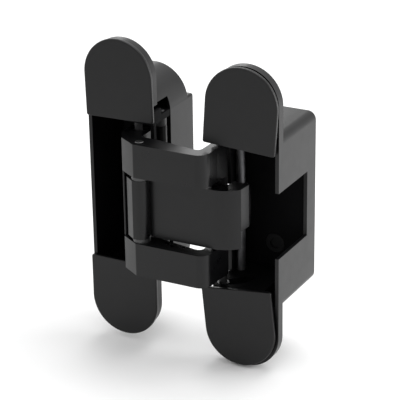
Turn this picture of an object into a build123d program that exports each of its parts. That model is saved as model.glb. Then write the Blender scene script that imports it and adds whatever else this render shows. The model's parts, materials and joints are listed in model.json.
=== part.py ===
from build123d import *
import math
import os

# Concealed door hinge: two mortised leaves joined by an outer arm and a centre arm that cross on one pin.
# It is modelled opened flat, with the right leaf beside the left one.
# X runs across the leaves, Y goes into the depth of the pockets, and Z is up.
# The origin is the middle of the left leaf's fixing holes, on the back of its flange.
# Lengths are in millimetres and angles in degrees. A plan point is (x, depth).
# Its depth is counted from the front of the left leaf's covers.

# Flanges and covers
leaf_width = 28.6
leaf_height = 122.5
flange_thickness = 3.7
cover_thickness = 1.5
cover_chamfer = 0.5
cover_overhang = 0.4
cover_inner_edge = 29.6
peg_radius = 1.2
peg_hole_radius = 2.6
peg_length = 3.0
peg_end_distance = 4.25

# How each loose cover sits: shifts across and up, lift, turn in its plane and tilt sideways
left_upper_pose = (0.0, 0.0, 0.0, -1.3, 0.0)
left_lower_pose = (0.0, -0.4, 0.0, 0.0, 0.0)
right_upper_pose = (0.1, 0.0, 2.0, 4.0, 2.0)
right_lower_pose = (-1.3, 1.2, 1.3, -5.6, 2.0)

# Fixing holes in each flange
fixing_spacing_x = 13.0
fixing_end_distance = 10.25
fixing_hole_radius = 2.3
fixing_sink_radius = 4.2
fixing_sink_depth = 2.0

# Leaf housings
left_depth = 33.7
left_box_half_height = 31.8
left_box_corner = 1.0
left_end_distance = 16.85
left_end_depth = 29.6
left_pocket_half_height = 36.2
left_pocket_depth = 27.8
right_depth = 34.3
right_box_corner = 3.4
end_wall = 1.6
side_wall = 1.5
right_pocket_depth = 30.6
side_opening_depth = 15.5
knuckle_opening_depth = 24.5
notch_depth = 26.8
notch_clearance = 0.2
notch_corner = 1.5

# Places of the leaves and of the crossing pin, with the swing from open to closed
leaf_pitch = 53.2
right_drop = 3.1
arm_drop = 2.0
closed_gap = 4.0
open_crossing = (13.0, -7.0)
closed_crossing = (-8.2, 11.1)
full_swing = 180.0
outer_swing = 90.7
right_swing = 76.1

# Arm levels, counted from the middle of the arms
band_outer = 27.2
band_inner = 13.7
centre_half_height = 12.1
knuckle_half_height = 5.0
knuckle_clearance = 1.3

# Pins, guide bushes and washers
pin_radius = 1.8
slide_pin_radius = 1.6
bush_radius = 2.4
running_fit = 0.05
slot_clearance = 0.1
side_clearance = 0.1
washer_radius = 3.4
washer_gap = 0.1
spacer_radius = 2.5
clip_radius = 2.8
clip_thickness = 0.9

# Carriers that hold the pins in each leaf
left_lug_inner = 30.6
left_lug_thickness = 2.6
left_lug_front = 2.2
left_plate_front = 25.0
lug_margin = 1.6
right_lug_gap = 1.55
right_lug_thickness = 3.9
right_lug_front = 1.9
right_plate_front = 28.1
carrier_clearance = 0.1
rail_depth = 2.1
rail_width = 1.5
tab_front = 1.6
tab_back = 8.5
tab_height = 5.2

# Clamp screws of the carriers
clamp_radius = 2.2
clamp_head_radius = 4.0
clamp_head_height = 1.6
clamp_tip = 0.5
clamp_clearance = 0.2
clamp_height = 20.0
clamp_socket = 2.5
clamp_socket_depth = 1.0
travel_up = 2.2
travel_down = 0.3

# Outer arm in plan
outer_web_back = (1.7, -0.3)
outer_oblique_start = (4.8, -6.2)
outer_oblique_end = (12.4, -11.0)
outer_elbow = (42.7, -10.8)
outer_leg_end = (43.0, -0.8)
outer_leg_inner = (38.2, -5.4)
outer_band_inner = (35.2, -5.4)
outer_waist = (18.0, -2.4)
outer_root_back = (1.5, 8.5)
outer_root_inset = (2.2, 1.4)
outer_elbow_radius = 4.6
outer_leg_radius = 6.0
outer_inner_radius = 2.0
outer_root_radius = 4.0
outer_arris_radius = 1.2
outer_boss_radius = 2.6
outer_tail = (41.5, 6.0)
outer_tail_radius = 2.1
outer_tail_left = 38.6
outer_tail_right = 43.6
outer_tail_front = 1.4
web_inner_front = (5.5, -4.0)
web_inner_back = (3.4, 0.4)

# Centre arm in plan
centre_nose_left = (6.9, -7.2)
centre_nose_front = 11.3
centre_nose_back = (12.0, -4.2)
centre_groove_back = (15.8, -3.4)
centre_groove_edge = (16.3, -5.4)
centre_elbow_start = (44.0, -5.4)
centre_elbow_middle = (48.7, -3.8)
centre_elbow_end = (52.7, -0.5)
centre_plate_end = (50.6, 3.0)
centre_plate_inner = (46.2, 0.4)
centre_side_end = (53.2, 5.8)
centre_leg_outer = (45.6, 22.3)
centre_leg_inner = (39.0, 17.8)
centre_leg_front = (46.8, 5.0)
centre_leg_root = (45.2, -0.6)
centre_neck_left = (9.6, -6.0)
centre_neck_right = (16.2, -4.0)
centre_leg_radius = 3.0
centre_nose_radius = 0.8
centre_knuckle_radius = 3.5
centre_tail = (6.0, 5.0)
centre_tail_radius = 3.0
centre_boss_radius = 2.8

# Rounding of small corners
small_radius = 0.5
tight_radius = 0.1
rail_radius = 0.3

# Worked-out values
face = -(flange_thickness + cover_thickness)
pocket_half_width = leaf_width / 2 - side_wall
notch_half_height = centre_half_height + right_drop - arm_drop + notch_clearance
right_lug_inner = band_outer + right_drop - arm_drop + right_lug_gap
right_pocket_half_height = right_lug_inner + right_lug_thickness + running_fit
right_box_half_height = right_pocket_half_height + end_wall
fixing_half_spacing_z = leaf_height / 2 - fixing_end_distance
left_end_half_height = leaf_height / 2 - left_end_distance
peg_height = leaf_height / 2 - peg_end_distance


def along(depth):
    """Y of a depth that is counted from the front of the covers."""
    return face + depth


def turned(point, centre, degrees):
    """Plan point turned counter-clockwise about a centre."""
    a = math.radians(degrees)
    dx = point[0] - centre[0]
    dy = point[1] - centre[1]
    x = centre[0] + dx * math.cos(a) - dy * math.sin(a)
    y = centre[1] + dx * math.sin(a) + dy * math.cos(a)
    return (x, y)


def turning_point(start, end, degrees):
    """Centre about which a turn by the given angle carries start to end."""
    dx = end[0] - start[0]
    dy = end[1] - start[1]
    reach = 0.5 / math.tan(math.radians(degrees) / 2)
    return ((start[0] + end[0]) / 2 - dy * reach, (start[1] + end[1]) / 2 + dx * reach)


# The fixed pivot of the outer arm is in the left leaf and that of the centre arm in the right one.
left_pivot = turning_point(open_crossing, closed_crossing, -outer_swing)
crossing_seen_open = (open_crossing[0] - leaf_pitch, open_crossing[1])
crossing_seen_closed = (-closed_crossing[0], -closed_crossing[1] - closed_gap)
right_pivot_local = turning_point(crossing_seen_open, crossing_seen_closed, right_swing)
right_pivot = (right_pivot_local[0] + leaf_pitch, right_pivot_local[1])


def crossing_at(step):
    """Plan place of the crossing pin, from 0 for open to 1 for closed."""
    return turned(open_crossing, left_pivot, -outer_swing * step)


def centre_arm_point(point, step):
    """Where a point of the centre arm is in the left leaf at a step of the swing."""
    crossing = crossing_at(step)
    x, y = turned(point, open_crossing, -(full_swing - right_swing) * step)
    return (x + crossing[0] - open_crossing[0], y + crossing[1] - open_crossing[1])


def outer_arm_point(point, step):
    """Where a point of the outer arm is, seen from the right leaf, at a step of the swing."""
    x, y = turned(point, left_pivot, -outer_swing * step)
    pivot = centre_arm_point(right_pivot, step)
    seen = turned((x, y), pivot, full_swing * step)
    return (seen[0] - pivot[0] + right_pivot_local[0], seen[1] - pivot[1] + right_pivot_local[1])


def column(plan, low, high):
    """Solid over a plan sketch between two levels."""
    return Pos(0, 0, low) * extrude(plan, high - low)


def block(sketch, front, back):
    """Solid behind a sketch seen from the front, between two depths."""
    plane = Plane(origin=(0, along(front), 0), x_dir=(1, 0, 0), z_dir=(0, -1, 0))
    return extrude(plane * sketch, -(back - front))


def disc(point, radius):
    """Round plan sketch about a plan point."""
    return Pos(point[0], along(point[1])) * Circle(radius)


def outline(points, radii):
    """Closed plan sketch through plan points, with one corner radius each."""
    corners = [(x, along(y)) for x, y in points]
    return make_face(FilletPolyline(*corners, radius=radii, close=True))


def curved_slot(points, width):
    """Plan sketch of a slot along the arc through three plan points."""
    a, b, c = [(x, along(y)) for x, y in points]
    return SlotArc(ThreePointArc(a, b, c), width)


def save(name, shape):
    """Write one node."""
    solids = shape.solids()
    if len(solids) == 1:
        shape = solids[0]
    shape.label = name
    export_step(shape, f"parts/{name}.step")


# Leaves

def stadium(half_height, overhang):
    """Leaf outline with round ends, seen from the front, grown by an overhang."""
    return Rot(0, 0, 90) * SlotOverall(2 * (half_height + overhang), leaf_width + 2 * overhang)


def fixing_holes():
    """Four countersunk holes through the flange."""
    cutter = Part()
    for x in (-fixing_spacing_x / 2, fixing_spacing_x / 2):
        for z in (-fixing_half_spacing_z, fixing_half_spacing_z):
            hole = block(Pos(x, z) * Circle(fixing_hole_radius), 0, left_depth)
            sink = Cone(fixing_hole_radius, fixing_sink_radius, fixing_sink_depth)
            sink_y = along(cover_thickness) + fixing_sink_depth / 2
            cutter += hole + Pos(x, sink_y, z) * Rot(90, 0, 0) * sink
    return cutter


def peg_holes():
    """Holes in the flange for the pegs of both covers."""
    cutter = Part()
    for z in (-peg_height, peg_height):
        cutter += block(Pos(0, z) * Circle(peg_hole_radius), 0, cover_thickness + flange_thickness)
    return cutter


def clamp_holes(middle, pocket_depth, box_depth):
    """Threaded holes through the back wall for the clamp screws."""
    cutter = Part()
    for z in (-clamp_height, clamp_height):
        cutter += block(Pos(0, middle + z) * Circle(clamp_radius), pocket_depth - 1, box_depth + 1)
    return cutter


def flange():
    """Flat plate with round ends that is let into the edge of the door or frame."""
    return block(stadium(leaf_height / 2, 0), cover_thickness, cover_thickness + flange_thickness)


def make_left_body():
    back_from = cover_thickness + flange_thickness
    box = RectangleRounded(leaf_width, 2 * left_box_half_height, left_box_corner)
    body = flange() + block(box, back_from, left_depth)
    body += block(stadium(left_end_half_height, 0), back_from, left_end_depth)
    pocket = Rectangle(2 * pocket_half_width, 2 * left_pocket_half_height)
    body -= block(pocket, 0, left_pocket_depth)
    side = Pos(leaf_width / 2, 0) * Rectangle(leaf_width, 2 * left_pocket_half_height)
    body -= block(side, 0, side_opening_depth)
    body -= fixing_holes() + peg_holes()
    body -= clamp_holes(-arm_drop, left_pocket_depth, left_depth)
    return body


def make_right_body():
    back_from = cover_thickness + flange_thickness
    box = RectangleRounded(leaf_width, 2 * right_box_half_height, right_box_corner)
    body = flange() + block(box, back_from, right_depth)
    pocket = Rectangle(2 * pocket_half_width, 2 * right_pocket_half_height)
    body -= block(pocket, 0, right_pocket_depth)
    side = Pos(-leaf_width / 2, 0) * Rectangle(leaf_width, 2 * right_pocket_half_height)
    body -= block(side, 0, side_opening_depth)
    drop = right_drop - arm_drop
    knuckle_height = 2 * (knuckle_half_height + knuckle_clearance)
    knuckle = Pos(-leaf_width / 2, drop) * Rectangle(leaf_width, knuckle_height)
    body -= block(knuckle, 0, knuckle_opening_depth)
    lug_height = right_lug_thickness + 2 * side_clearance
    for z in (lug_height / 2 - right_pocket_half_height, right_pocket_half_height - lug_height / 2):
        lug_opening = Pos(-leaf_width / 2, z) * Rectangle(leaf_width, lug_height)
        body -= block(lug_opening, 0, knuckle_opening_depth)
    relief = disc(right_pivot_local, pin_radius + side_clearance)
    body -= column(relief, -right_pocket_half_height, right_pocket_half_height)
    notch = RectangleRounded(leaf_width, 2 * notch_half_height, notch_corner)
    body -= block(Pos(leaf_width / 2, 0) * notch, 0, notch_depth)
    body -= fixing_holes() + peg_holes()
    body -= clamp_holes(0, right_pocket_depth, right_depth)
    return Pos(leaf_pitch, 0, -right_drop) * body


def make_cover(side, pose):
    """Loose cover of one flange end with one peg. Side is 1 for the upper end, -1 for the lower."""
    shift_x, shift_z, lift, turn, tilt = pose
    outer_edge = leaf_height / 2 + cover_overhang
    middle = side * (cover_inner_edge + outer_edge) / 2
    width = leaf_width + 2 * cover_overhang
    end = Pos(0, middle) * Rectangle(width, outer_edge - cover_inner_edge)
    plate = block(stadium(leaf_height / 2, cover_overhang) & end, 0, cover_thickness)
    front_edges = plate.faces().sort_by(Axis.Y)[0].edges()
    cover = chamfer(front_edges, cover_chamfer)
    peg = Pos(0, side * peg_height) * Circle(peg_radius)
    cover += block(peg, cover_thickness, cover_thickness + peg_length)
    back = along(cover_thickness)
    seat = Pos(shift_x, back - lift, middle + shift_z) * Rot(0, turn, tilt)
    return seat * Pos(0, -back, -middle) * cover


# Carriers

def clamp_slots(plate_front, plate_back, up, down):
    """Upright slots with recesses for the screw heads, through a back plate that moves up and down."""
    cutter = Part()
    seat = plate_front + clamp_head_height
    for radius, back in ((clamp_radius, plate_back + 1), (clamp_head_radius, seat)):
        width = 2 * (radius + clamp_clearance)
        low = Pos(0, -up) * Circle(width / 2)
        high = Pos(0, down) * Circle(width / 2)
        middle = Pos(0, (down - up) / 2) * Rectangle(width, up + down + tight_radius)
        for z in (-clamp_height, clamp_height):
            cutter += block(Pos(0, z) * (low + middle + high), plate_front - 1, back)
    return cutter


def make_left_carrier():
    """Frame with two lugs, a back plate and a front rail, which slides up and down in the left pocket."""
    wide = pocket_half_width - carrier_clearance
    edge = leaf_width / 2 - running_fit
    opening_back = side_opening_depth - carrier_clearance
    plate_back = left_pocket_depth - running_fit
    left_edge = centre_tail[0] - 3 * bush_radius - lug_margin
    lug = outline(
        [(left_edge, left_lug_front), (edge, left_lug_front), (edge, opening_back), (wide, opening_back),
         (wide, plate_back), (left_edge, plate_back)],
        [2 * small_radius, small_radius, small_radius, tight_radius, small_radius, small_radius])
    outer = left_lug_inner + left_lug_thickness
    carrier = column(lug, left_lug_inner, outer) + column(lug, -outer, -left_lug_inner)
    plate = outline(
        [(-wide, left_plate_front), (wide, left_plate_front), (wide, plate_back), (-wide, plate_back)],
        [small_radius] * 4)
    carrier += column(plate, -outer, outer)
    rail_back = left_lug_front + rail_depth
    rail = outline(
        [(edge - rail_width, left_lug_front), (edge, left_lug_front), (edge, rail_back),
         (edge - rail_width, rail_back)],
        [rail_radius] * 4)
    carrier += column(rail, -outer, outer)
    tab = outline(
        [(edge - rail_width, tab_front), (edge, tab_front), (edge, tab_back),
         (edge - rail_width, tab_back)],
        [rail_radius] * 4)
    carrier += column(tab, left_lug_inner, left_lug_inner + tab_height)
    carrier -= column(disc(left_pivot, pin_radius), -outer, outer)
    path = [centre_arm_point(centre_tail, step) for step in (0, 0.5, 1)]
    guide = curved_slot(path, 2 * (bush_radius + slot_clearance))
    carrier -= column(guide, left_lug_inner - 1, outer + 1)
    carrier -= column(guide, -outer - 1, -left_lug_inner + 1)
    carrier -= clamp_slots(left_plate_front, plate_back, travel_up, travel_down)
    return Pos(0, 0, -arm_drop) * carrier


def make_right_carrier():
    """Frame with two lugs and a back plate, clamped in the right pocket."""
    wide = pocket_half_width - carrier_clearance
    edge = leaf_width / 2 - running_fit
    opening_back = knuckle_opening_depth - carrier_clearance
    plate_back = right_pocket_depth
    outer = right_lug_inner + right_lug_thickness
    inner = right_lug_inner
    right_edge = wide / 2
    lug = outline(
        [(-edge, right_lug_front), (right_edge, right_lug_front), (right_edge, plate_back),
         (-wide, plate_back), (-wide, opening_back), (-edge, opening_back)],
        [small_radius, 2 * small_radius, small_radius, small_radius, tight_radius, small_radius])
    carrier = column(lug, inner, outer) + column(lug, -outer, -inner)
    plate = outline(
        [(-wide, right_plate_front), (wide, right_plate_front), (wide, plate_back), (-wide, plate_back)],
        [small_radius] * 4)
    carrier += column(plate, -outer, outer)
    carrier -= column(disc(right_pivot_local, pin_radius), -outer, outer)
    path = [outer_arm_point(outer_tail, step) for step in (0, 0.5, 1)]
    guide = curved_slot(path, 2 * (bush_radius + slot_clearance))
    carrier -= column(guide, inner - 1, outer + 1)
    carrier -= column(guide, -outer - 1, -inner + 1)
    carrier -= clamp_slots(right_plate_front, plate_back, 0, 0)
    return Pos(leaf_pitch, 0, -right_drop) * carrier


def make_clamp_screw(x, z, plate_front, box_depth):
    """Low-headed screw with a hexagon socket that holds a carrier to the back wall."""
    seat = plate_front + clamp_head_height
    head = block(Circle(clamp_head_radius), plate_front, seat - running_fit)
    shank = block(Circle(clamp_radius), seat - running_fit, box_depth - clamp_tip)
    socket = block(RegularPolygon(clamp_socket, 6), plate_front, plate_front + clamp_socket_depth)
    return Pos(x, 0, z) * (head + shank - socket)


# Arms

def outer_plan():
    """Plan of the outer arm: root, crossing knuckle, flat band, elbow and tail."""
    points = [
        left_pivot,
        (left_pivot[0], outer_waist[1]),
        outer_waist,
        outer_band_inner,
        outer_leg_inner,
        (outer_tail_left, outer_tail[1]),
        (outer_tail_right, outer_tail[1]),
        outer_leg_end,
        outer_elbow,
        outer_oblique_end,
        outer_oblique_start,
        outer_web_back,
        outer_root_back,
        (left_pivot[0] - outer_root_inset[0], left_pivot[1] + outer_root_inset[1])]
    radii = [
        small_radius, 2 * small_radius, outer_inner_radius, outer_inner_radius, outer_inner_radius,
        small_radius, small_radius, outer_leg_radius, outer_elbow_radius, outer_arris_radius,
        small_radius, outer_arris_radius, outer_root_radius, 2 * small_radius]
    ends = disc(left_pivot, outer_boss_radius) + disc(outer_tail, outer_tail_radius)
    return outline(points, radii) + ends


def inner_web():
    """Thin strip along the left edge of the outer arm, which joins its bands."""
    points = [outer_oblique_start, outer_web_back, web_inner_back, web_inner_front]
    return outline(points, [small_radius] * 4)


def tail_block():
    """Upright block behind the centre arm, which joins the bands at their tails."""
    block_plan = outline(
        [(outer_tail_left, outer_tail_front), (outer_tail_right, outer_tail_front),
         (outer_tail_right, outer_tail[1]), (outer_tail_left, outer_tail[1])],
        [small_radius, small_radius, tight_radius, tight_radius])
    return block_plan + disc(outer_tail, outer_tail_radius)


def make_outer_arm():
    """Two bands over and under the centre arm, joined by a web, a pivot tube and a tail block."""
    bands = outer_plan()
    arm = column(bands, band_inner, band_outer) + column(bands, -band_outer, -band_inner)
    arm += column(inner_web(), -band_inner, band_inner)
    arm += column(tail_block(), -band_inner, band_inner)
    arm += column(disc(left_pivot, outer_boss_radius), -band_inner, band_inner)
    arm -= column(disc(left_pivot, pin_radius + running_fit), -band_outer, band_outer)
    arm -= column(disc(open_crossing, pin_radius), -band_outer, band_outer)
    arm -= column(disc(outer_tail, slide_pin_radius), -band_outer, band_outer)
    relative = full_swing - right_swing - outer_swing
    sweep = [turned(centre_tail, open_crossing, -relative * step) for step in (0, 0.5, 1)]
    guide = curved_slot(sweep, 2 * (slide_pin_radius + slot_clearance))
    arm -= column(guide, -band_outer, band_outer)
    return Pos(0, 0, -arm_drop) * arm


def centre_plate():
    """Plan of the centre arm's flat plate, from the groove beside the knuckle to the elbow."""
    start = [(x, along(y)) for x, y in (
        (open_crossing[0], centre_plate_inner[1]), (open_crossing[0], centre_groove_back[1]),
        centre_groove_back, centre_groove_edge, centre_elbow_start)]
    bend = [(x, along(y)) for x, y in (centre_elbow_start, centre_elbow_middle, centre_elbow_end)]
    finish = [(x, along(y)) for x, y in (
        centre_elbow_end, centre_plate_end, centre_plate_inner,
        (open_crossing[0], centre_plate_inner[1]))]
    return make_face(Curve() + Polyline(*start) + ThreePointArc(*bend) + Polyline(*finish))


def make_centre_arm():
    """Knuckle, recessed flat plate, elbow and leg with a low knuckle, and a tail behind the crossing."""
    nose_front = open_crossing[1] - centre_knuckle_radius
    nose = outline(
        [centre_nose_left, (centre_nose_front, nose_front), (open_crossing[0], nose_front),
         centre_nose_back],
        [small_radius, centre_nose_radius, tight_radius, small_radius])
    tail_left = (centre_tail[0] - centre_tail_radius, centre_tail[1])
    tail_right = (centre_tail[0] + centre_tail_radius, centre_tail[1])
    tail = outline([centre_neck_left, centre_neck_right, tail_right, tail_left], [small_radius] * 4)
    tail += disc(centre_tail, centre_tail_radius)
    knuckle = disc(open_crossing, centre_knuckle_radius)
    arm = column(centre_plate() + knuckle + nose + tail, -centre_half_height, centre_half_height)
    leg = outline(
        [centre_elbow_end, centre_side_end, centre_leg_outer, centre_leg_inner, centre_leg_front,
         centre_leg_root],
        [rail_radius, centre_leg_radius, small_radius, small_radius, centre_leg_radius, small_radius])
    leg += disc(right_pivot, centre_boss_radius)
    arm += column(leg, -knuckle_half_height, knuckle_half_height)
    front_y = along(centre_side_end[1]) - leaf_width / 2
    front = Pos(centre_leg_front[0], front_y) * Rectangle(leaf_width, leaf_width)
    arm += column(leg & front, -knuckle_half_height, centre_half_height)
    arm -= column(disc(open_crossing, pin_radius + running_fit), -band_outer, band_outer)
    arm -= column(disc(right_pivot, pin_radius + running_fit), -band_outer, band_outer)
    arm -= column(disc(centre_tail, slide_pin_radius), -band_outer, band_outer)
    return Pos(0, 0, -arm_drop) * arm


# Pins and their small parts

def make_pin(point, radius, low, high):
    """Straight pin with slightly chamfered ends."""
    pin = column(disc(point, radius), low, high)
    return chamfer(pin.edges().filter_by(GeomType.CIRCLE), 0.25)


def make_ring(point, outer, bore, low, high):
    """Washer, spacer or roller around a pin."""
    return column(disc(point, outer) - disc(point, bore), low, high)


os.makedirs("parts", exist_ok=True)

save("left_body", make_left_body())
save("right_body", make_right_body())
right_leaf = Pos(leaf_pitch, 0, -right_drop)
save("left_upper_cover", make_cover(1, left_upper_pose))
save("left_lower_cover", make_cover(-1, left_lower_pose))
save("right_upper_cover", right_leaf * make_cover(1, right_upper_pose))
save("right_lower_cover", right_leaf * make_cover(-1, right_lower_pose))
save("left_carrier", make_left_carrier())
save("right_carrier", make_right_carrier())
save("outer_arm", make_outer_arm())
save("centre_arm", make_centre_arm())

# Clamp screws
for name, z in (("upper", clamp_height), ("lower", -clamp_height)):
    save(f"left_{name}_clamp_screw", make_clamp_screw(0, z - arm_drop, left_plate_front, left_depth))
    screw = make_clamp_screw(leaf_pitch, z - right_drop, right_plate_front, right_depth)
    save(f"right_{name}_clamp_screw", screw)

# Pins
left_pin_end = left_lug_inner + left_lug_thickness
right_pin_end = right_lug_inner + right_lug_thickness
save("left_pivot_pin",
     make_pin(left_pivot, pin_radius, -left_pin_end - arm_drop, left_pin_end - arm_drop))
save("right_pivot_pin",
     make_pin(right_pivot, pin_radius, -right_pin_end - right_drop, right_pin_end - right_drop))
save("crossing_pin", make_pin(open_crossing, pin_radius, -band_outer - arm_drop, band_outer - arm_drop))
save("centre_slide_pin",
     make_pin(centre_tail, slide_pin_radius, -left_pin_end - arm_drop, left_pin_end - arm_drop))
save("outer_upper_slide_pin",
     make_pin(outer_tail, slide_pin_radius, band_inner - arm_drop, right_pin_end - right_drop))
save("outer_lower_slide_pin",
     make_pin(outer_tail, slide_pin_radius, -right_pin_end - right_drop, -band_inner - arm_drop))

# Bushes pressed on the slide pins, which run in the guide slots
left_lug = (left_lug_inner - arm_drop, left_pin_end - arm_drop)
left_lower_lug = (-left_pin_end - arm_drop, -left_lug_inner - arm_drop)
right_lug = (right_lug_inner - right_drop, right_pin_end - right_drop)
right_lower_lug = (-right_pin_end - right_drop, -right_lug_inner - right_drop)
save("left_upper_bush", make_ring(centre_tail, bush_radius, slide_pin_radius, *left_lug))
save("left_lower_bush", make_ring(centre_tail, bush_radius, slide_pin_radius, *left_lower_lug))
save("right_upper_bush", make_ring(outer_tail, bush_radius, slide_pin_radius, *right_lug))
save("right_lower_bush", make_ring(outer_tail, bush_radius, slide_pin_radius, *right_lower_lug))

# Washers, spacers and clips
bore = pin_radius + running_fit
low = centre_half_height + washer_gap
high = band_inner
save("upper_crossing_washer",
     make_ring(open_crossing, washer_radius, bore, low - arm_drop, high - arm_drop))
save("lower_crossing_washer",
     make_ring(open_crossing, washer_radius, bore, -high - arm_drop, -low - arm_drop))
low = band_outer + washer_gap
high = left_lug_inner
save("upper_pivot_spacer",
     make_ring(left_pivot, spacer_radius, bore, low - arm_drop, high - arm_drop))
save("lower_pivot_spacer",
     make_ring(left_pivot, spacer_radius, bore, -high - arm_drop, -low - arm_drop))
low = knuckle_half_height + washer_gap
high = low + clip_thickness
save("upper_pivot_clip",
     make_ring(right_pivot, clip_radius, pin_radius, low - arm_drop, high - arm_drop))
save("lower_pivot_clip",
     make_ring(right_pivot, clip_radius, pin_radius, -high - arm_drop, -low - arm_drop))
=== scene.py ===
import json
import math

import bmesh
import bpy
import numpy as np
from mathutils import Matrix, Vector

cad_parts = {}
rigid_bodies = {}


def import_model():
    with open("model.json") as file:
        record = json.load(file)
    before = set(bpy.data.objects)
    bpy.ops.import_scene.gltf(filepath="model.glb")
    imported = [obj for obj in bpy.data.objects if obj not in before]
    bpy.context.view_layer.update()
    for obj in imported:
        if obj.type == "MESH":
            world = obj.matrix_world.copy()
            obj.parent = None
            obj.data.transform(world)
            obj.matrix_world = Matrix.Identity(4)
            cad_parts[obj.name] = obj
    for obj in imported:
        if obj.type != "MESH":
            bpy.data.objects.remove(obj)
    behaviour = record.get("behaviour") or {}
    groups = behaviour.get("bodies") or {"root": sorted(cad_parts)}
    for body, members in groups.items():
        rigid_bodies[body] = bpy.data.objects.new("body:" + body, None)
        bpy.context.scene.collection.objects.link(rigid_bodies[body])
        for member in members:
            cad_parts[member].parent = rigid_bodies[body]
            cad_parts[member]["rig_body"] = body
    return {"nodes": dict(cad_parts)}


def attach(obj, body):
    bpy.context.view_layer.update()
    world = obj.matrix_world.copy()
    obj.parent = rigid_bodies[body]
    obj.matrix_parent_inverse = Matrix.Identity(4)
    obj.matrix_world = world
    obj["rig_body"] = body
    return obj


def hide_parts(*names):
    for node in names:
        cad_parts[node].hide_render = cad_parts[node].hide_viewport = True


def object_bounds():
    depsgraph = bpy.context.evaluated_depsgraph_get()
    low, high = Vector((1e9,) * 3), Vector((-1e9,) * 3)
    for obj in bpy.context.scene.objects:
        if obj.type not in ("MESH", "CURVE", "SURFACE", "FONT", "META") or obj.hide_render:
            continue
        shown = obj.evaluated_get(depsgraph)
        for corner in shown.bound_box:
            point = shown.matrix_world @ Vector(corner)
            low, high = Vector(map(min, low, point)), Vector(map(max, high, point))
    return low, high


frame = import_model()
cad_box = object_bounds()


# Housings: the two mortised leaves are pressure die-cast in zinc and powder-coated black in one go.
# The die leaves every corner slightly rounded, and the coat lies over it as one thin satin skin.

HOUSING_ARRIS = 0.00035
HOUSING_BLACK = "#060607"
HOUSING_BLACK_WORN = "#0a0a0b"
# The real grain is under 0.1 mm, and is drawn as coarse as it needs to show.
COAT_GRAIN = 0.0006
COAT_FLOW = 0.006
COAT_IOR = 1.45
SATIN_SHINE = 0.36
MERGE_DISTANCE = 2e-6
FLAT_ANGLE = 0.4
SHARP_ANGLE = 35


def linear(hex_colour):
    """Linear RGBA of an sRGB hex colour."""
    parts = np.array([int(hex_colour[i:i + 2], 16) for i in (1, 3, 5)]) / 255
    low = parts / 12.92
    high = ((parts + 0.055) / 1.055) ** 2.4
    return (*np.where(parts <= 0.04045, low, high), 1.0)


def add(tree, kind, links=None, **settings):
    """Adds a node. Settings are attributes or input values, and links name an input's (node, output)."""
    node = tree.nodes.new("ShaderNode" + kind)
    for key, value in settings.items():
        if hasattr(node, key):
            setattr(node, key, value)
        else:
            node.inputs[key.replace("_", " ").title()].default_value = value
    for name, (source, output) in (links or {}).items():
        tree.links.new(source.outputs[output], node.inputs[name])
    return node


def new_material(name):
    """Empty material with an output, and its node tree."""
    material = bpy.data.materials.new(name)
    material.use_nodes = True
    tree = material.node_tree
    tree.nodes.clear()
    return material, tree, tree.nodes.new("ShaderNodeOutputMaterial")


def powder_coat(name, dark, pale, roughness, relief, shine=SATIN_SHINE):
    """Powder coat: baked polyester-epoxy powder over metal. The melted powder leaves a fine even grain,
    and a slow orange peel that bends its reflections. Less shine dims its reflections, and the carriers
    use it as painted shade of the deep pockets."""
    material, tree, output = new_material(name)
    place = add(tree, "TexCoord")
    fine = add(tree, "TexNoise", {"Vector": (place, "Object")}, scale=1 / COAT_GRAIN, detail=2.0)
    peel = add(tree, "TexNoise", {"Vector": (place, "Object")}, scale=1 / COAT_FLOW, detail=3.0)
    tone = add(tree, "MapRange", {"Value": (peel, "Fac")}, from_min=0.3, from_max=0.7)
    colour = add(tree, "MixRGB", {"Fac": (tone, "Result")}, color1=linear(dark), color2=linear(pale))
    gloss = add(tree, "MapRange", {"Value": (peel, "Fac")}, from_min=0.3, from_max=0.7,
                to_min=roughness - 0.03, to_max=roughness + 0.03)
    slow = add(tree, "Bump", {"Height": (peel, "Fac")}, strength=0.12, distance=COAT_FLOW / 60)
    bumps = add(tree, "Bump", {"Height": (fine, "Fac"), "Normal": (slow, "Normal")},
                strength=relief, distance=COAT_GRAIN / 12)
    skin = add(tree, "BsdfPrincipled", {
        "Base Color": (colour, "Color"), "Roughness": (gloss, "Result"), "Normal": (bumps, "Normal")})
    skin.inputs["IOR"].default_value = COAT_IOR
    skin.inputs["Specular IOR Level"].default_value = shine
    tree.links.new(skin.outputs[0], output.inputs["Surface"])
    return material


def softened(node, arris, material):
    """Piece that stands for a CAD node, with its flat faces merged and its sharp edges rounded."""
    source = frame["nodes"][node]
    mesh = source.data.copy()
    mesh.materials.clear()
    mesh.materials.append(material)
    shape = bmesh.new()
    shape.from_mesh(mesh)
    bmesh.ops.remove_doubles(shape, verts=shape.verts, dist=MERGE_DISTANCE)
    flat = math.radians(FLAT_ANGLE)
    bmesh.ops.dissolve_limit(shape, angle_limit=flat, verts=shape.verts, edges=shape.edges)
    for face in shape.faces:
        face.smooth = True
    shape.to_mesh(mesh)
    shape.free()
    if "custom_normal" in mesh.attributes:
        mesh.attributes.remove(mesh.attributes["custom_normal"])
    piece = bpy.data.objects.new("piece_" + node, mesh)
    bpy.context.scene.collection.objects.link(piece)
    bevel = piece.modifiers.new("arris", "BEVEL")
    bevel.width = arris
    bevel.segments = 3
    bevel.limit_method = "ANGLE"
    bevel.angle_limit = math.radians(SHARP_ANGLE)
    bevel.use_clamp_overlap = True
    bevel.miter_outer = "MITER_ARC"
    bevel.harden_normals = True
    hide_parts(node)
    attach(piece, source["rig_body"])


housing_coat = powder_coat(
    "satin_black_powder_coat_on_zinc", HOUSING_BLACK, HOUSING_BLACK_WORN, roughness=0.34, relief=0.18)
for leaf in ("left", "right"):
    softened(leaf + "_body", HOUSING_ARRIS, housing_coat)


# Covers: four clip-on end covers of the flanges, moulded in ABS and coated to match the leaves.
# Their front corner is rolled all round, and a loose peg behind each one goes into the flange.

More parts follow.
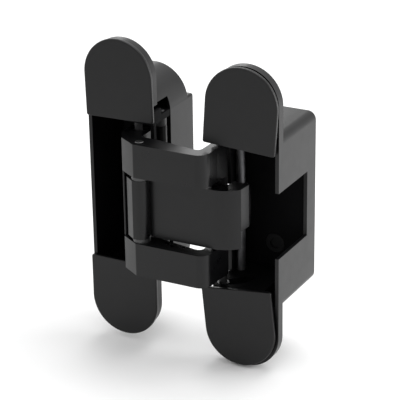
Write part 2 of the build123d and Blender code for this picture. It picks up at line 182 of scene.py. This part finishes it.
COVER_BLACK = "#070708"
COVER_BLACK_WORN = "#0b0b0c"
LEAF_WIDTH = 0.0286
LEAF_HEIGHT = 0.1225
FLANGE_BACK = 0.0052
COVER_THICKNESS = 0.0015
COVER_OVERHANG = 0.0004
COVER_INNER_EDGE = 0.0296
COVER_ARRIS = 0.0006
COVER_CORNER = 0.0008
COVER_EASE = 0.0001
FRONT_RINGS = (0.0012, 0.003)
SPINE_MARGIN = 0.006
PEG_RADIUS = 0.0012
PEG_LENGTH = 0.0030
PEG_HEIGHT = 0.057
PEG_TIP = 0.0004
PEG_SINK = 0.0002
LEAF_PITCH = 0.0532
RIGHT_DROP = 0.0031
COVER_MIDDLE = (COVER_INNER_EDGE + LEAF_HEIGHT / 2 + COVER_OVERHANG) / 2
# End of each cover, its leaf's place across and up, its shifts across and up, lift, turn and tilt
COVER_POSES = {
    "left_upper_cover": (1, 0, 0, 0.0, 0.0, 0.0, -1.3, 0.0),
    "left_lower_cover": (-1, 0, 0, 0.0, -0.0004, 0.0, 0.0, 0.0),
    "right_upper_cover": (1, LEAF_PITCH, -RIGHT_DROP, 0.0001, 0.0, 0.0020, 4.0, 2.0),
    "right_lower_cover": (-1, LEAF_PITCH, -RIGHT_DROP, -0.0013, 0.0012, 0.0013, -5.6, 2.0)}


def grid_faces(rows, columns):
    """Quads of a grid of points, rows by columns, whose columns close on themselves."""
    r, c = np.meshgrid(np.arange(rows - 1), np.arange(columns), indexing="ij")
    after = (c + 1) % columns
    return np.stack([r * columns + c, r * columns + after,
                     (r + 1) * columns + after, (r + 1) * columns + c], -1).reshape(-1, 4)


def make_piece(node, grids, material, body):
    """Piece that stands for a CAD node, made of grids of points and placed by its own vertices."""
    shape = bmesh.new()
    for points in grids:
        rows, columns, _ = points.shape
        vertices = [shape.verts.new(p) for p in points.reshape(-1, 3)]
        for face in grid_faces(rows, columns):
            shape.faces.new([vertices[i] for i in face])
    bmesh.ops.remove_doubles(shape, verts=shape.verts, dist=MERGE_DISTANCE)
    bmesh.ops.dissolve_degenerate(shape, edges=shape.edges, dist=MERGE_DISTANCE / 2)
    bmesh.ops.recalc_face_normals(shape, faces=shape.faces)
    for face in shape.faces:
        face.smooth = True
    mesh = bpy.data.meshes.new("piece_" + node)
    shape.to_mesh(mesh)
    shape.free()
    mesh.materials.append(material)
    piece = bpy.data.objects.new("piece_" + node, mesh)
    bpy.context.scene.collection.objects.link(piece)
    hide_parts(node)
    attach(piece, body)


def cover_outline():
    """Round-ended outline of an upper cover: a half circle, two straight sides, and an inner edge whose
    two corners are quarter circles. Its points are (x, z), counter-clockwise."""
    radius = LEAF_WIDTH / 2 + COVER_OVERHANG
    top = LEAF_HEIGHT / 2 + COVER_OVERHANG - radius
    a = np.linspace(0, np.pi, 61)
    crown = np.c_[radius * np.cos(a), top + radius * np.sin(a)]
    b = np.linspace(np.pi, 1.5 * np.pi, 7)
    left = COVER_CORNER * (1 + np.c_[np.cos(b), np.sin(b)]) + (-radius, COVER_INNER_EDGE)
    right = left[::-1] * (-1, 1)
    side = np.linspace(top, COVER_INNER_EDGE + COVER_CORNER, 9)[1:-1]
    down = np.c_[np.full(len(side), -radius), side]
    return np.r_[crown, down, left, right, down[::-1] * (-1, 1)]


def cover_surface():
    """Plate over the outline. A point is spine + (outline - spine) * share, where the spine is the
    upright middle line. The profile holds (inset, depth) from the back over the arris to the front."""
    edge = cover_outline()
    radius = LEAF_WIDTH / 2 + COVER_OVERHANG
    low = COVER_INNER_EDGE + SPINE_MARGIN
    high = LEAF_HEIGHT / 2 + COVER_OVERHANG - radius
    spine = np.c_[np.zeros(len(edge)), np.clip(edge[:, 1], low, high)]
    reach = edge - spine
    distance = np.linalg.norm(reach, axis=1)
    a = np.linspace(0, np.pi / 2, 7)
    rolled = np.c_[COVER_ARRIS * (1 - np.cos(a)), COVER_ARRIS * (1 - np.sin(a))]
    back = [(1.0, COVER_THICKNESS), (COVER_EASE, COVER_THICKNESS), (0.0, COVER_THICKNESS - COVER_EASE)]
    front = [(inset, 0.0) for inset in (*FRONT_RINGS, 1.0)]
    profile = np.r_[back, rolled, front]
    share = 1 - np.minimum(profile[:, :1] / distance[None], 1.0)
    flat = spine[None] + reach[None] * share[..., None]
    depth = np.broadcast_to(profile[:, 1:2], share.shape)
    return np.stack([flat[..., 0], depth - FLANGE_BACK, flat[..., 1]], -1)


def peg_surface():
    """Round peg behind a cover: a circle carried along the depth, closed at its foot and drawn in at
    its rounded tip."""
    a = np.linspace(0, 2 * np.pi, 24, endpoint=False)
    tip = np.linspace(0, np.pi / 2, 6)
    along = np.r_[0.0, 0.0, PEG_LENGTH - PEG_TIP + PEG_TIP * np.sin(tip), PEG_LENGTH]
    radius = np.r_[0.0, PEG_RADIUS, PEG_RADIUS - PEG_TIP + PEG_TIP * np.cos(tip), 0.0]
    x = radius[:, None] * np.cos(a)
    z = PEG_HEIGHT + radius[:, None] * np.sin(a)
    y = np.broadcast_to((along + COVER_THICKNESS - FLANGE_BACK - PEG_SINK)[:, None], x.shape)
    return np.stack([x, y, z], -1)


def placed_cover(points, side, x, z, shift_x, shift_z, lift, turn, tilt):
    """Points of an upper cover mirrored to its end, tilted and turned about its middle, and shifted."""
    back = COVER_THICKNESS - FLANGE_BACK
    middle = side * COVER_MIDDLE
    points = points * (1, 1, side) - (0, back, middle)
    spin = Matrix.Rotation(math.radians(turn), 3, "Y")
    lean = Matrix.Rotation(math.radians(tilt), 3, "Z")
    points = points @ np.array(spin @ lean).T
    return points + (x + shift_x, back - lift, middle + z + shift_z)


cover_coat = powder_coat(
    "satin_black_coat_on_moulded_covers", COVER_BLACK, COVER_BLACK_WORN, roughness=0.36, relief=0.22)
for cover, pose in COVER_POSES.items():
    grids = [placed_cover(points, *pose) for points in (cover_surface(), peg_surface())]
    body = "left_leaf" if cover.startswith("left") else "right_leaf"
    make_piece(cover, grids, cover_coat, body)


# Carriers: the frames inside the pockets that hold the pins, die-cast in zinc and coated black.
# The left one slides up and down for the height adjustment. Their coat is black, and is made darker
# and far less shiny than the other coats as painted shade of the deep pockets.

# Darker than the other blacks: the carriers' own black with painted pocket shade on top.
CARRIER_BLACK_AND_POCKET_SHADE = "#040405"
CARRIER_WORN_BLACK_AND_POCKET_SHADE = "#070708"
CARRIER_ARRIS = 0.0002
# Low shine dims the carriers' reflections, as painted shade of the pockets.
POCKET_SHADE_SHINE = 0.08
carrier_coat_and_pocket_shade = powder_coat(
    "matt_black_coat_and_painted_pocket_shade_on_carriers", CARRIER_BLACK_AND_POCKET_SHADE, CARRIER_WORN_BLACK_AND_POCKET_SHADE,
    roughness=0.66, relief=0.2, shine=POCKET_SHADE_SHINE)
for leaf in ("left", "right"):
    softened(leaf + "_carrier", CARRIER_ARRIS, carrier_coat_and_pocket_shade)


# Arms: the outer arm's two bands and the centre arm, forged and machined, then coated like the leaves.
# Their long elbows and edges are rounded, and the coat is smoother there than on the covers.

ARM_ARRIS = 0.0003
ARM_BLACK = "#070708"
ARM_BLACK_WORN = "#0b0b0c"
arm_coat = powder_coat(
    "satin_black_powder_coat_on_arms", ARM_BLACK, ARM_BLACK_WORN, roughness=0.30, relief=0.10)
for arm in ("outer_arm", "centre_arm"):
    softened(arm, ARM_ARRIS, arm_coat)


# Pins, bushes, washers and screws: turned carbon steel, most of them blackened in an oxide bath.
# The two pivot pins are ground and dark. The crossing pin is left bright, and its ends show as grey
# dots on the outer arm's bands.

OXIDE_BLACK = "#0c0c0d"
OXIDE_RUBBED = "#161617"
SCREW_BLACK = "#040405"
SCREW_RUBBED = "#080809"
PIN_DARK = "#58585a"
PIN_RUBBED = "#68686a"
STEEL_BRIGHT = "#9a9a9a"
STEEL_DULL = "#7c7c7c"
# The real rings are about 0.1 mm apart, and are drawn wider to show.
TURNING_PITCH = 0.0003
CLOUD_SIZE = 0.003
OXIDE_IOR = 1.7
OILED_IOR = 1.5
MATT_IOR = 1.3


def turned_steel(name, dark, pale, roughness, metallic, ior=None):
    """Turned steel with a cloudy tone and faint rings. Bare, it is a metal, and a black oxide hides
    the metal behind a dark film."""
    material, tree, output = new_material(name)
    place = add(tree, "TexCoord")
    cloud = add(tree, "TexNoise", {"Vector": (place, "Object")}, scale=1 / CLOUD_SIZE, detail=4.0)
    rings = add(tree, "TexNoise", {"Vector": (place, "Object")}, scale=1 / TURNING_PITCH, detail=1.0)
    tone = add(tree, "MapRange", {"Value": (cloud, "Fac")}, from_min=0.35, from_max=0.65)
    colour = add(tree, "MixRGB", {"Fac": (tone, "Result")}, color1=linear(dark), color2=linear(pale))
    gloss = add(tree, "MapRange", {"Value": (cloud, "Fac")},
                to_min=roughness - 0.05, to_max=roughness + 0.05)
    bumps = add(tree, "Bump", {"Height": (rings, "Fac")}, strength=0.1, distance=TURNING_PITCH / 10)
    skin = add(tree, "BsdfPrincipled", {
        "Base Color": (colour, "Color"), "Roughness": (gloss, "Result"), "Normal": (bumps, "Normal")},
        metallic=metallic)
    if ior:
        skin.inputs["IOR"].default_value = ior
    tree.links.new(skin.outputs[0], output.inputs["Surface"])
    return material


pin_finish = turned_steel(
    "dark_ground_steel_of_pins", PIN_DARK, PIN_RUBBED, roughness=0.5, metallic=1.0)
bright_finish = turned_steel(
    "bright_ground_steel_of_crossing_pin", STEEL_DULL, STEEL_BRIGHT, roughness=0.32, metallic=1.0)
slide_finish = turned_steel(
    "black_oxide_steel_of_slide_pins", OXIDE_BLACK, OXIDE_RUBBED,
    roughness=0.5, metallic=0.0, ior=OILED_IOR)
screw_finish = turned_steel(
    "black_oxide_steel_of_clamp_screws", SCREW_BLACK, SCREW_RUBBED,
    roughness=0.6, metallic=0.0, ior=MATT_IOR)
bush_finish = turned_steel(
    "black_oxide_steel_of_bushes", OXIDE_BLACK, OXIDE_RUBBED,
    roughness=0.45, metallic=0.0, ior=OXIDE_IOR)
for node, source in frame["nodes"].items():
    if node == "crossing_pin":
        finish, slot = bright_finish, "pin_steel"
    elif node.endswith("_pivot_pin"):
        finish, slot = pin_finish, "pin_steel"
    elif node.endswith("_slide_pin"):
        finish, slot = slide_finish, "pin_steel"
    elif node.endswith("_screw"):
        finish, slot = screw_finish, "screw_steel"
    elif node.endswith(("_bush", "_washer", "_spacer", "_clip")):
        finish, slot = bush_finish, "bush_steel"
    else:
        continue
    source.data.materials.clear()
    source.data.materials.append(finish)


# Studio: a plain pale floor under the standing hinge, three soft boxes round it, and the camera.
# The world is white to the camera and in reflections, as the photograph's background is.

FLOOR_WHITE = "#f4f4f4"
CAMERA_PLACE = (0.32618, -0.54574, 0.26004)
CAMERA_YAW = 28.31
CAMERA_PITCH = 22.75
CAMERA_ROLL = -0.91
FOCAL_PIXELS = 1749.87
PHOTO_WIDTH = 400
SENSOR_WIDTH = 36
FLOOR_GAP = 0.0002
FLOOR_REACH = 3.0
SKY_LIGHT = 0.8

floor_level = cad_box[0][2] - FLOOR_GAP
floor_mesh = bpy.data.meshes.new("floor")
corners = ((-1, -1), (1, -1), (1, 1), (-1, 1))
floor_points = [(x * FLOOR_REACH, y * FLOOR_REACH, floor_level) for x, y in corners]
floor_mesh.from_pydata(floor_points, [], [(0, 1, 2, 3)])
floor = bpy.data.objects.new("floor", floor_mesh)
bpy.context.scene.collection.objects.link(floor)
material, tree, output = new_material("pale_matt_floor")
matt = add(tree, "BsdfPrincipled", roughness=0.8)
matt.inputs["Base Color"].default_value = linear(FLOOR_WHITE)
tree.links.new(matt.outputs[0], output.inputs["Surface"])
floor_mesh.materials.append(material)

world = bpy.data.worlds.new("studio")
bpy.context.scene.world = world
world.use_nodes = True
tree = world.node_tree
tree.nodes.clear()
output = tree.nodes.new("ShaderNodeOutputWorld")
path = add(tree, "LightPath")
seen = add(tree, "Math", operation="MAXIMUM")
tree.links.new(path.outputs["Is Camera Ray"], seen.inputs[0])
tree.links.new(path.outputs["Is Glossy Ray"], seen.inputs[1])
strength = add(tree, "MapRange", {"Value": (seen, "Value")}, to_min=SKY_LIGHT, to_max=1.0)
sky = add(tree, "Background", {"Strength": (strength, "Result")})
sky.inputs["Color"].default_value = (1, 1, 1, 1)
tree.links.new(sky.outputs[0], output.inputs["Surface"])


def soft_box(name, place, aim, width, height, watts):
    """Area lamp at a place, turned to its aim."""
    lamp = bpy.data.lights.new(name, "AREA")
    lamp.shape = "RECTANGLE"
    lamp.size = width
    lamp.size_y = height
    lamp.energy = watts
    box = bpy.data.objects.new(name, lamp)
    box.location = place
    box.rotation_euler = (Vector(aim) - Vector(place)).to_track_quat("-Z", "Y").to_euler()
    bpy.context.scene.collection.objects.link(box)


CENTRE = (0.026, 0.01, 0.0)
soft_box("top_box", (0.05, 0.25, 0.75), CENTRE, 0.7, 0.5, 4.2)
soft_box("right_box", (0.8, 0.35, 0.15), CENTRE, 0.5, 0.6, 6.0)
soft_box("back_left_box", (-0.8, 1.35, 0.55), CENTRE, 0.4, 0.3, 1.0)

yaw = math.radians(CAMERA_YAW)
pitch = math.radians(CAMERA_PITCH)
roll = math.radians(CAMERA_ROLL)
ahead = Vector((-math.sin(yaw) * math.cos(pitch), math.cos(yaw) * math.cos(pitch), -math.sin(pitch)))
across = Vector((math.cos(yaw), math.sin(yaw), 0))
upward = across.cross(ahead)
right = math.cos(roll) * across + math.sin(roll) * upward
up = -math.sin(roll) * across + math.cos(roll) * upward
lens = bpy.data.cameras.new("camera")
lens.sensor_width = SENSOR_WIDTH
lens.lens = FOCAL_PIXELS / PHOTO_WIDTH * SENSOR_WIDTH
lens.clip_start = 0.01
camera = bpy.data.objects.new("camera", lens)
turn = Matrix((right, up, -ahead)).transposed().to_4x4()
camera.matrix_world = Matrix.Translation(CAMERA_PLACE) @ turn
bpy.context.scene.collection.objects.link(camera)
bpy.context.scene.camera = camera
bpy.context.scene.view_settings.view_transform = "Standard"
